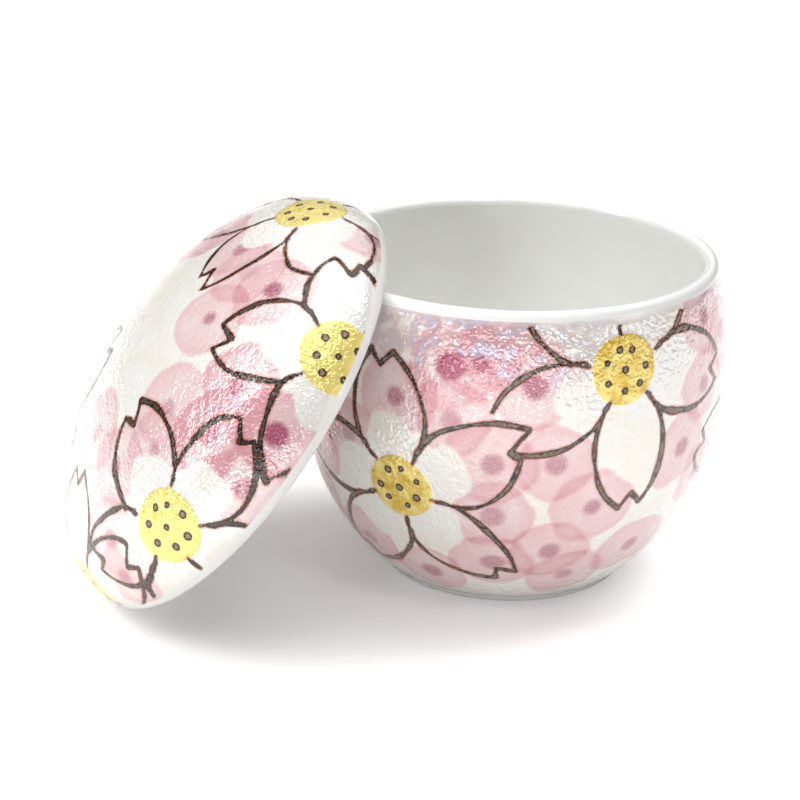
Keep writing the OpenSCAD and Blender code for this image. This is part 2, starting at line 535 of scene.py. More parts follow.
class Turned:
    """A turned piece: mesh of a section spun round its axis, with its painted outside."""

    # Points round each ring of the mesh
    SPOKES = 520
    # Height in mm of the enamel, the ink and the crinkle over the glaze
    ENAMEL = 0.14
    INK = 0.03
    CRINKLE = 0.012
    # Mean wavelength of the crinkle in mm
    CRINKLE_WAVE = 2.6

    def __init__(self, section: Section, zero: float, seed: int) -> None:
        """Spin the section.

        Args:
            section: Half section; it starts and ends on the axis.
            zero: Direction of angle 0, in degrees from the X axis.
            seed: Seed of the painting and the crinkle.
        """
        self.section = section
        line = np.array(section.points)
        turn = np.linspace(0, 2 * math.pi, self.SPOKES, endpoint=False)
        rings = line[1:-1]
        spun = np.stack((
            rings[:, :1] * np.cos(turn),
            rings[:, :1] * np.sin(turn),
            np.repeat(rings[:, 1:], self.SPOKES, axis=1),
        ), axis=-1).reshape(-1, 3)
        self.points = np.vstack((spun, (0, 0, line[0, 1]), (0, 0, line[-1, 1])))
        painted = [i for i, zone in enumerate(section.zones) if zone is Zone.PAINTED]
        first, last = painted[0], painted[-1] + 1
        self.canvas = Canvas(line[first:last + 1], zero)
        self.shown = np.arange(max(first - 1, 0) * self.SPOKES, min(last, len(rings)) * self.SPOKES)
        if last == len(line) - 1:
            self.shown = np.append(self.shown, len(self.points) - 1)
        self.painting = Painting(self.canvas, self.points[self.shown], seed)
        self.seed = seed

    def faces(self) -> tuple[list[tuple[int, ...]], list[int]]:
        """Join the points.

        Returns:
            The faces, and the index of each one's material.
        """
        spokes = self.SPOKES
        count = len(self.section.points) - 2
        faces: list[tuple[int, ...]] = []
        zones: list[int] = []
        low, high = count * spokes, count * spokes + 1
        for k in range(spokes):
            after = (k + 1) % spokes
            faces.append((low, after, k))
            zones.append(self.section.zones[0].value)
            faces.append((high, (count - 1) * spokes + k, (count - 1) * spokes + after))
            zones.append(self.section.zones[-1].value)
        for ring in range(count - 1):
            base = ring * spokes
            for k in range(spokes):
                after = (k + 1) % spokes
                faces.append((base + k, base + after, base + spokes + after, base + spokes + k))
                zones.append(self.section.zones[ring + 1].value)
        return faces, zones

    def relief(self) -> Array:
        """Raise the enamel, the ink and the crinkled lustre.

        Returns:
            The raised points in mm.
        """
        middle = self.points - np.array((0, 0, 1)) * self.points[:, 2:]
        line = np.array(self.section.points)
        slope = np.gradient(line, axis=0)
        out = np.column_stack((slope[:, 1], -slope[:, 0]))
        out /= np.maximum(np.linalg.norm(out, axis=1), 1e-9)[:, None]
        level = np.concatenate((np.repeat(out[1:-1], self.SPOKES, axis=0), out[[0, -1]]))
        radius = np.maximum(np.linalg.norm(middle, axis=1), 1e-6)[:, None]
        normal = middle / radius * level[:, :1] + np.array((0, 0, 1)) * level[:, 1:]
        paint = self.painting
        lift = self.ENAMEL * smooth(paint.heart, -0.25, 0.35)
        lift += self.INK * smooth(paint.ink, -0.2, 0.3)
        folds = Ripple(self.seed + 5, self.CRINKLE_WAVE).at(paint.points)
        lift += self.CRINKLE * folds * self.lustre()
        raised = self.points.copy()
        raised[self.shown] += normal[self.shown] * lift[:, None]
        return raised

    def edge(self) -> Array:
        """Measure from the open ends of the painted part.

        Returns:
            Each painted point's distance from the nearest open end, in mm.
        """
        rows = self.canvas.rows
        if self.canvas.closed:
            return np.append(np.repeat(rows[:-1], self.SPOKES), self.canvas.end)
        return np.repeat(np.minimum(rows, self.canvas.end - rows), self.SPOKES)

    def lustre(self) -> Array:
        """Give how much lustre lies on each painted point, 0 at the ends of the painted part."""
        return smooth(self.edge() + 0.35 * self.painting.sway, 0.2, 1.6)

    def make(self, name: str, place: Matrix) -> bpy.types.Object:
        """Make the Blender object.

        Args:
            name: Name of the piece.
            place: Where it goes, in mm.

        Returns:
            The object, with its painted fields as attributes.
        """
        faces, zones = self.faces()
        points = self.relief()
        turn = np.array(place.to_3x3())
        points = (points @ turn.T + np.array(place.translation)) * MM
        mesh = bpy.data.meshes.new(name)
        mesh.from_pydata(points.tolist(), [], faces)
        mesh.polygons.foreach_set("material_index", zones)
        mesh.polygons.foreach_set("use_smooth", [True] * len(faces))
        paint = self.painting
        fields = {
            "ink": (paint.ink, paint.FAR),
            "heart": (paint.heart, paint.FAR),
            "seed": (paint.seed, paint.FAR),
            "wash": (paint.wash, 0.0),
            "dot": (paint.dot, 0.0),
            "reserve": (paint.reserve, 0.0),
            "lustre": (self.lustre(), 0.0),
            "painted_sheen": (paint.painted_sheen, 0.0),
        }
        for field, (values, plain) in fields.items():
            whole = np.full(len(points), plain)
            whole[self.shown] = values
            mesh.attributes.new(field, "FLOAT", "POINT").data.foreach_set("value", whole)
        mesh.update()
        piece = bpy.data.objects.new(name, mesh)
        bpy.context.scene.collection.objects.link(piece)
        return piece


class Nodes:
    """Short way to add, set and link the nodes of one tree."""

    def __init__(self, tree: bpy.types.NodeTree) -> None:
        """Keep the tree."""
        self.tree = tree

    def add(self, kind: str, **settings: object) -> bpy.types.Node:
        """Add a node.

        Args:
            kind: Its type.
            settings: Properties to set on it.

        Returns:
            The node.
        """
        node = self.tree.nodes.new(kind)
        for name, value in settings.items():
            setattr(node, name, value)
        return node

    def feed(self, socket: Socket, value: object) -> None:
        """Link a socket to another, or set it to a plain value.

        Args:
            socket: The socket.
            value: What it gets: a socket, a number or a colour.
        """
        if isinstance(value, bpy.types.NodeSocket):
            self.tree.links.new(value, socket)
        else:
            socket.default_value = value

    def math(self, operation: str, first: object, second: object) -> Socket:
        """Do arithmetic on two values.

        Args:
            operation: Name of the operation.
            first: First number or socket.
            second: Second number or socket.

        Returns:
            The result.
        """
        node = self.add("ShaderNodeMath", operation=operation)
        self.feed(node.inputs[0], first)
        self.feed(node.inputs[1], second)
        return node.outputs[0]

    def times(self, first: object, second: object) -> Socket:
        """Multiply two values."""
        return self.math("MULTIPLY", first, second)

    def step(self, value: object, low: float, high: float) -> Socket:
        """Rise smoothly from 0 to 1.

        Args:
            value: Number or socket that rises.
            low: Where the result is 0.
            high: Where the result is 1.

        Returns:
            The result.
        """
        node = self.add("ShaderNodeMapRange", interpolation_type="SMOOTHSTEP")
        self.feed(node.inputs["Value"], value)
        node.inputs["From Min"].default_value = low
        node.inputs["From Max"].default_value = high
        return node.outputs[0]

    def span(self, value: object, low: float, high: float) -> Socket:
        """Stretch a value that runs from 0 to 1.

        Args:
            value: Number or socket.
            low: Result at 0.
            high: Result at 1.

        Returns:
            The result.
        """
        node = self.add("ShaderNodeMapRange")
        self.feed(node.inputs["Value"], value)
        node.inputs["To Min"].default_value = low
        node.inputs["To Max"].default_value = high
        return node.outputs[0]

    def mix(self, share: object, first: object, second: object) -> Socket:
        """Mix two colours.

        Args:
            share: Share of the second colour.
            first: First colour or socket.
            second: Second colour or socket.

        Returns:
            The mixed colour.
        """
        node = self.add("ShaderNodeMix", data_type="RGBA")
        self.feed(node.inputs[0], share)
        self.feed(node.inputs[6], first)
        self.feed(node.inputs[7], second)
        return node.outputs[2]

    def noise(self, scale: object, detail: float, twist: float = 0.0) -> Socket:
        """Make noise over the piece.

        Args:
            scale: Its scale per metre, a number or a socket.
            detail: How many finer layers it has.
            twist: How much it is distorted.

        Returns:
            The noise, about 0.2 to 0.8.
        """
        where = self.add("ShaderNodeTexCoord")
        node = self.add("ShaderNodeTexNoise")
        self.feed(node.inputs["Vector"], where.outputs["Object"])
        self.feed(node.inputs["Scale"], scale)
        node.inputs["Detail"].default_value = detail
        node.inputs["Distortion"].default_value = twist
        return node.outputs[0]

    def field(self, name: str) -> Socket:
        """Read a painted field of the mesh."""
        return self.add("ShaderNodeAttribute", attribute_name=name).outputs["Fac"]


def new_group(
    name: str, outputs: dict[str, str], inputs: dict[str, str] | None = None
) -> tuple[Nodes, bpy.types.Node]:
    """Start a shader node group.

    Args:
        name: Name of the group.
        outputs: Name and socket type of each output.
        inputs: Name and socket type of each input, if it has any.

    Returns:
        The group's nodes and its output node.
    """
    tree = bpy.data.node_groups.new(name, "ShaderNodeTree")
    for label, kind in (inputs or {}).items():
        tree.interface.new_socket(label, in_out="INPUT", socket_type=kind)
    for label, kind in outputs.items():
        tree.interface.new_socket(label, in_out="OUTPUT", socket_type=kind)
    nodes = Nodes(tree)
    return nodes, nodes.add("NodeGroupOutput")


@dataclass(frozen=True)
class PaintBox:
    """Colours of the painting, its noises' scales per metre, and how metallic its layers are."""

    white: Colour = srgb(250, 248, 244)
    cream: Colour = srgb(250, 245, 236)
    pale_pink: Colour = srgb(241, 206, 208)
    mid_pink: Colour = srgb(222, 164, 172)
    dot_pink: Colour = srgb(172, 88, 114)
    ink: Colour = srgb(40, 29, 27)
    ink_worn: Colour = srgb(134, 124, 110)
    rust: Colour = srgb(186, 110, 76)
    yellow: Colour = srgb(252, 233, 140)
    amber: Colour = srgb(224, 180, 52)
    seed: Colour = srgb(70, 48, 34)
    seed_worn: Colour = srgb(150, 128, 108)
    # Tints of the painted sheen, the lustre's iridescent reflection painted into the colour; lilac also
    # paints the reflection along the lustre's edge
    salmon: Colour = srgb(202, 150, 150)
    lilac: Colour = srgb(212, 196, 212)
    pale_blue: Colour = srgb(200, 208, 234)
    grain: float = 2600.0
    cloud: float = 160.0
    flake: float = 340.0
    blue_flake: float = 410.0
    gilt: float = 420.0
    fleck: float = 800.0
    lustre_metal: float = 0.16
    enamel_metal: float = 0.24

    def group(self) -> bpy.types.NodeTree:
        """Build the group that turns the painted fields into a colour and masks.

        Returns:
            The group, with the colour, the enamel's mask and how metallic the surface is.
        """
        nodes, out = new_group(
            "blossom_paint",
            {"Color": "NodeSocketColor", "Enamel": "NodeSocketFloat", "Metal": "NodeSocketFloat"},
            {"Gold": "NodeSocketFloat", "Wear": "NodeSocketFloat"},
        )
        given = nodes.add("NodeGroupInput").outputs
        grain = nodes.math("SUBTRACT", nodes.noise(self.grain, 3), 0.5)
        cloud = nodes.noise(self.cloud, 3)
        flakes = nodes.noise(self.flake, 2)
        ground = nodes.mix(nodes.step(cloud, 0.42, 0.62), self.white, self.cream)

        # Pink washes, kept off the white beds of the petals
        held = nodes.math("SUBTRACT", 1.0, nodes.times(nodes.field("reserve"), 0.94))
        patchy = nodes.math("ADD", nodes.field("wash"), nodes.span(cloud, -0.4, 0.4))
        patchy = nodes.math("ADD", patchy, nodes.times(grain, 0.7))
        patchy = nodes.times(patchy, nodes.step(nodes.field("wash"), 0.02, 0.3))
        patchy = nodes.times(patchy, held)
        colour = nodes.mix(nodes.step(patchy, 0.02, 0.95), ground, self.pale_pink)
        colour = nodes.mix(nodes.step(patchy, 0.8, 2.4), colour, self.mid_pink)

        # Painted sheen: salmon, lilac and pale blue tints that stand for the lustre's iridescent
        # reflection, then the dots of the washes, and a painted lilac reflection along the lustre's edge
        # under the sheen
        painted_sheen = nodes.field("painted_sheen")
        sheen_hue = nodes.mix(nodes.step(flakes, 0.47, 0.64), self.salmon, self.lilac)
        sheen_hue = nodes.mix(nodes.step(nodes.noise(self.blue_flake, 2), 0.58, 0.68), sheen_hue, self.pale_blue)
        colour = nodes.mix(nodes.times(painted_sheen, nodes.step(flakes, 0.3, 0.65)), colour, sheen_hue)
        dots = nodes.times(nodes.field("dot"), held)
        dots = nodes.times(dots, nodes.math("ADD", nodes.times(grain, 0.9), 0.85))
        colour = nodes.mix(dots, colour, self.dot_pink)
        lustre = nodes.field("lustre")
        # Painted reflection: a lilac line along the edge of the lustre, only under the painted sheen
        fading = nodes.math("SUBTRACT", 1.0, nodes.step(lustre, 0.4, 0.95))
        sheen_edge = nodes.times(nodes.step(lustre, 0.02, 0.3), fading)
        sheen_edge = nodes.times(sheen_edge, 0.5)
        colour = nodes.mix(nodes.times(sheen_edge, painted_sheen), colour, self.lilac)

        # Yellow enamel of the hearts, with their seeds
        heart = nodes.math("ADD", nodes.field("heart"), nodes.times(grain, 0.25))
        enamel = nodes.step(heart, -0.08, 0.1)
        gilt = nodes.math("ADD", nodes.noise(self.gilt, 2), given["Gold"])
        yellow = nodes.mix(nodes.step(gilt, 0.4, 0.9), self.yellow, self.amber)
        colour = nodes.mix(enamel, colour, yellow)
        seed = nodes.math("ADD", nodes.field("seed"), nodes.times(grain, 0.4))
        ring = nodes.mix(nodes.step(seed, 0.28, 0.5), self.seed, self.seed_worn)
        seeds = nodes.step(seed, -0.1, 0.12)
        colour = nodes.mix(seeds, colour, ring)

        # Brush lines, with rusty borders and worn middles
        ink = nodes.math("ADD", nodes.field("ink"), nodes.times(grain, 0.4))
        patches = nodes.step(flakes, 0.4, 0.6)
        rust = nodes.times(nodes.step(ink, -0.42, -0.04), nodes.span(patches, 0.4, 0.95))
        colour = nodes.mix(rust, colour, self.rust)
        line = nodes.step(ink, -0.07, 0.1)
        flecks = nodes.step(nodes.noise(self.fleck, 3), 0.32, 0.56)
        worn = nodes.times(flecks, nodes.step(ink, 0.12, 0.36))
        worn = nodes.times(worn, given["Wear"])
        tone = nodes.mix(nodes.times(patches, 0.3), self.ink_worn, self.rust)
        colour = nodes.mix(line, colour, nodes.mix(worn, self.ink, tone))

        # The lines and the seeds aren't metallic
        dark = nodes.math("SUBTRACT", 1.0, nodes.math("MAXIMUM", line, seeds))
        metal = nodes.times(nodes.span(enamel, self.lustre_metal, self.enamel_metal), lustre)
        nodes.feed(out.inputs["Color"], colour)
        nodes.feed(out.inputs["Enamel"], enamel)
        nodes.feed(out.inputs["Metal"], nodes.times(metal, dark))
        return nodes.tree


def crinkle_group() -> bpy.types.NodeTree:
    """Build the group of the crinkled lustre, which is thicker on the enamel.

    Returns:
        The group, with the crinkle's height in shares of its depth.
    """
    nodes, out = new_group("lustre_crinkle", {"Height": "NodeSocketFloat"}, {"Scale": "NodeSocketFloat"})
    scale = nodes.add("NodeGroupInput").outputs["Scale"]
    folds = nodes.noise(scale, 0.6, twist=0.7)
    thick = nodes.span(nodes.step(nodes.field("heart"), -0.2, 0.3), 1.0, 1.6)
    nodes.feed(out.inputs["Height"], nodes.times(nodes.times(folds, thick), nodes.field("lustre")))
    return nodes.tree


def speck_group() -> bpy.types.NodeTree:
    """Build the group of faint clouds and pin specks of a plain surface.

    Returns:
        The group, with the masks of the clouds and the specks.
    """
    nodes, out = new_group("glaze_specks", {"Cloud": "NodeSocketFloat", "Speck": "NodeSocketFloat"})
    nodes.feed(out.inputs["Cloud"], nodes.step(nodes.noise(90, 3), 0.35, 0.7))
    nodes.feed(out.inputs["Speck"], nodes.step(nodes.noise(700, 1), 0.74, 0.8))
    return nodes.tree


class Groups:
    """The node groups that the finishes share."""

    def __init__(self) -> None:
        """Build the groups."""
        self.paint = PaintBox().group()
        self.crinkle = crinkle_group()
        self.speck = speck_group()


@dataclass(frozen=True)
class Finish:
    """What all finishes have: a name, and ways to start a material and to wrinkle it."""

    name: str

    def start(self) -> tuple[bpy.types.Material, Nodes, bpy.types.Node]:
        """Start the material.

        Returns:
            The material, its nodes and its shader.
        """
        material = bpy.data.materials.new(self.name)
        material.use_nodes = True
        nodes = Nodes(material.node_tree)
        return material, nodes, material.node_tree.nodes["Principled BSDF"]

    def wrinkle(self, nodes: Nodes, shader: bpy.types.Node, height: Socket, depth: float) -> None:
        """Wrinkle the shader's normal.

        Args:
            nodes: The material's nodes.
            shader: The shader.
            height: Height of the wrinkles in shares of their depth.
            depth: Their depth in mm.
        """
        bump = nodes.add("ShaderNodeBump")
        bump.inputs["Distance"].default_value = depth * MM
        nodes.feed(bump.inputs["Height"], height)
        nodes.feed(shader.inputs["Normal"], bump.outputs["Normal"])

    def material(self, groups: Groups) -> bpy.types.Material:
        """Make the material, in each finish's own way."""
        raise NotImplementedError


@dataclass(frozen=True)
class Lustre(Finish):
    """Painted outside under a pearly lustre.

    The crinkle has a number of folds per metre and a depth in mm. Gold is how golden the yellow enamel
    is, and wear is how worn the middles of the brush lines are.
    """

    folds: float
    depth: float
    gold: float
    wear: float
    rough: float = 0.11
    enamel_rough: float = 0.09
    ior: float = 1.5

    def material(self, groups: Groups) -> bpy.types.Material:
        """Make the material.

        Args:
            groups: The node groups.

        Returns:
            The material.
        """
        material, nodes, shader = self.start()
        paint = nodes.add("ShaderNodeGroup", node_tree=groups.paint)
        paint.inputs["Gold"].default_value = self.gold
        paint.inputs["Wear"].default_value = self.wear
        crinkle = nodes.add("ShaderNodeGroup", node_tree=groups.crinkle)
        crinkle.inputs["Scale"].default_value = self.folds
        nodes.feed(shader.inputs["Base Color"], paint.outputs["Color"])
        rough = nodes.span(paint.outputs["Enamel"], self.rough, self.enamel_rough)
        nodes.feed(shader.inputs["Roughness"], rough)
        nodes.feed(shader.inputs["Metallic"], paint.outputs["Metal"])
        shader.inputs["IOR"].default_value = self.ior
        self.wrinkle(nodes, shader, crinkle.outputs["Height"], self.depth)
        return material


@dataclass(frozen=True)
class Glaze(Finish):
    """Plain glossy glaze, a little cloudy, with waves per metre and their depth in mm."""

    colour: Colour
    shade: Colour
    shaded: float = 0.5
    rough: Pair = (0.12, 0.2)
    ior: float = 1.52
    waves: float = 180.0
    depth: float = 0.05

    def material(self, groups: Groups) -> bpy.types.Material:
        """Make the material.

        Args:
            groups: The node groups.

        Returns:
            The material.
        """
        material, nodes, shader = self.start()
        speck = nodes.add("ShaderNodeGroup", node_tree=groups.speck)
        cloud = speck.outputs["Cloud"]
        tone = nodes.mix(nodes.times(cloud, self.shaded), self.colour, self.shade)
        nodes.feed(shader.inputs["Base Color"], tone)
        nodes.feed(shader.inputs["Roughness"], nodes.span(cloud, *self.rough))
        shader.inputs["IOR"].default_value = self.ior
        self.wrinkle(nodes, shader, nodes.noise(self.waves, 2), self.depth)
        return material


@dataclass(frozen=True)
class Clay(Finish):
    """Unglazed fired clay of the foot, with grains per metre and their depth in mm."""

    colour: Colour = srgb(236, 231, 222)
    shade: Colour = srgb(222, 214, 202)
    speck: Colour = srgb(170, 150, 130)
    rough: float = 0.8
    grains: float = 2400.0
    depth: float = 0.05

    def material(self, groups: Groups) -> bpy.types.Material:
        """Make the material.

        Args:
            groups: The node groups.

        Returns:
            The material.
        """
        material, nodes, shader = self.start()
        speck = nodes.add("ShaderNodeGroup", node_tree=groups.speck)
        tone = nodes.mix(speck.outputs["Cloud"], self.colour, self.shade)
        tone = nodes.mix(speck.outputs["Speck"], tone, self.speck)
        nodes.feed(shader.inputs["Base Color"], tone)
        shader.inputs["Roughness"].default_value = self.rough
        self.wrinkle(nodes, shader, nodes.noise(self.grains, 3), self.depth)
        return material


@dataclass
class Cup:
    """The cup: rounded wall, plain rim and low foot ring. Sizes in mm.

    The margins are how far the lustre and the lines end from the rim, fine and coarse are steps of the
    mesh, corner is the foot's chamfer, and zero is the direction of the painting's angle 0.
    """

    height: float = 64.7
    mouth: float = 74.8
    wall: float = 2.8
    bulge: float = 2.7
    drop: float = 20.3
    sag: float = 5.4
    floor_across: float = 32.0
    floor_thick: float = 4.0
    foot: float = 49.0
    foot_side: float = 0.8
    foot_land: float = 3.0
    foot_recess: float = 1.4
    rim_margin: float = 0.7
    ink_margin: float = 1.3
    fine: float = 0.53
    coarse: float = 3.4
    corner: float = 0.25
    heart: float = 6.7
    line_weight: float = 0.8
    zero: float = -90.0
    seed: int = 11
    finishes: tuple[Finish, ...] = (
        Lustre("cup_painted_lustre", folds=1000.0, depth=0.23, gold=0.12, wear=0.9),
        Glaze("cup_white_glaze", srgb(250, 250, 247), srgb(245, 245, 241)),
        Clay("cup_foot_clay"),
    )

    def section(self) -> Section:
        """Work out the half section.

        Returns:
            The section, from the axis under the floor round to the axis above it.
        """
        bead = self.wall / 2
        rim = (self.mouth / 2 + bead, self.height - bead)
        belly = rim[0] + bead + self.bulge
        belly_z = self.height - self.drop
        rise = rim[1] - belly_z
        side = ((self.bulge + bead) ** 2 + rise ** 2 - bead ** 2) / (2 * self.bulge)
        side_c = (belly - side, belly_z)
        rim_a = math.degrees(math.atan2(rim[1] - side_c[1], rim[0] - side_c[0]))
        low = belly_z - self.foot_side + self.sag
        foot_a = math.degrees(math.asin((belly_z - self.foot_side) / low))
        wide = (belly - self.foot / 2) / (1 - math.cos(math.radians(foot_a)))
        floor_z = self.foot_recess + self.floor_thick
        hollow = (belly - self.wall - self.floor_across / 2, belly_z - floor_z)
        foot = self.foot / 2
        inner = foot - self.foot_land

        section = Section()
        section.run((0, self.foot_recess), Zone.GLAZED)
        for stop, step, zone in (
            ((inner - self.foot_recess, self.foot_recess), 4.0, Zone.GLAZED),
            ((inner - self.corner, self.corner), 0.6, Zone.BARE),
            ((inner, 0), 0.3, Zone.BARE),
            ((foot - self.corner, 0), 0.9, Zone.BARE),
            ((foot, self.corner), 0.3, Zone.BARE),
            ((foot, self.foot_side), 0.4, Zone.GLAZED),
        ):
            section.line(stop, step, zone)
        lower = arc((belly - wide, belly_z), (wide, low), -foot_a, 0, self.fine)
        section.run(lower, Zone.PAINTED)
        top = rim_a - math.degrees(self.rim_margin / side)
        section.run(round_arc(side_c, side, 0, top, self.fine), Zone.PAINTED)
        section.run(round_arc(side_c, side, top, rim_a, self.fine), Zone.GLAZED)
        section.run(round_arc(rim, bead, rim_a, rim_a + 180, 0.5), Zone.GLAZED)
        section.run(round_arc(side_c, side - self.wall, rim_a, 0, self.coarse), Zone.GLAZED)
        hollow_c = (self.floor_across / 2, belly_z)
        section.run(arc(hollow_c, hollow, 0, -90, self.coarse), Zone.GLAZED)
        section.line((0, floor_z), 4.0, Zone.GLAZED)
        return section

    def along(self, canvas: Canvas, height: float) -> float:
        """Give the length along the section at a height above the table."""
        return float(np.interp(height, canvas.line[:, 1], canvas.along))

    def paint(self, turned: Turned) -> None:
        """Paint the blossoms and the pink rounds, with places as angles and heights above the table.

        Args:
            turned: The turned cup.
        """
        canvas, painting = turned.canvas, turned.painting
        blossoms = (
            (-46.1, 28.2, (
                Petal(98, 27.3),
                Petal(26, 28, 8.0, 2.0),
                Petal(-50, 27, 7.8, 0.6),
                Petal(-123, 27),
                Petal(170, 27),
            )),
            (12.4, 53.5, (
                Petal(-82, 29.2, 7.5),
                Petal(205, 25.5, 7.8, 0.0, Tip.OPEN),
                Petal(132, 25),
                Petal(58, 25),
                Petal(-11, 28),
            )),
            (78, 30, five(172, 25.5)),
            (136, 51, five(28, 25.5)),
            (194, 27, five(84, 26)),
            (252, 50, five(50, 25.5)),
        )
        for angle, height, petals in blossoms:
            place = (angle, self.along(canvas, height))
            painting.blossom(Blossom(*place, petals, self.heart, self.line_weight))
        dabs = (
            (-32.1, 54.4, 8.5, 2.8, 1.1), (-24.5, 55.5, 7.5, 1.5, 0.9), (-46.5, 46.7, 8, 1.9, 0.8),
            (-31.1, 44.4, 7.5, 1.8, 0.6), (-10.8, 51.7, 8, 2.5, 0.9), (-20.8, 36, 8.5, 2.2, 0.7),
            (-20.5, 24.6, 8, 2.3, 0.6), (-4.8, 36.2, 8, 2.2, 0.7), (6.7, 26, 8.5, 2, 0.75),
            (-42.4, 7.9, 7.5, 2.2, 0.7), (-20.4, 13.1, 8, 2.3, 0.7), (-3.7, 16.1, 8, 2.2, 0.7),
            (3.9, 9.1, 7.5, 1.8, 0.6), (26, 14.1, 8, 2, 0.7), (34.1, 34.6, 8, 2, 0.75),
            (47.8, 26.2, 7.5, 1.8, 0.6), (41.8, 46.1, 7.5, 1.9, 0.7), (43.4, 58.9, 7.5, 2, 0.8),
            (-62, 36, 8, 1.8, 0.5), (-66, 12, 8, 1.8, 0.6), (-20, 59, 8, 1.2, 0.2),
        )
        for angle, height, radius, dot, tone in dabs:
            painting.dab(Dab(angle, self.along(canvas, height), radius, dot, tone))
        painting.scatter((58, 290), (10, 22, 34, 46, 58))
        # Painted sheen: iridescent reflection tints over the upper part, in three waves round the cup,
        # one crest towards the front left
        painting.lay_painted_sheen(46, 56, 3, -30)
        painting.trim(turned.edge(), self.ink_margin)

    def dress(self, piece: bpy.types.Object, groups: Groups) -> None:
        """Put the finishes on the cup and tie it to the CAD cup.

        Args:
            piece: The cup.
            groups: The node groups of the finishes.
        """
        for finish in self.finishes:
            piece.data.materials.append(finish.material(groups))
        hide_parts("cup")
        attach(piece, "cup")

    def build(self, groups: Groups) -> bpy.types.Object:
        """Turn, paint and dress the cup.

        Args:
            groups: The node groups of the finishes.

        Returns:
            The cup.
        """
        turned = Turned(self.section(), self.zero, self.seed)
        self.paint(turned)
        piece = turned.make("porcelain_cup", Matrix.Identity(4))
        self.dress(piece, groups)
        return piece


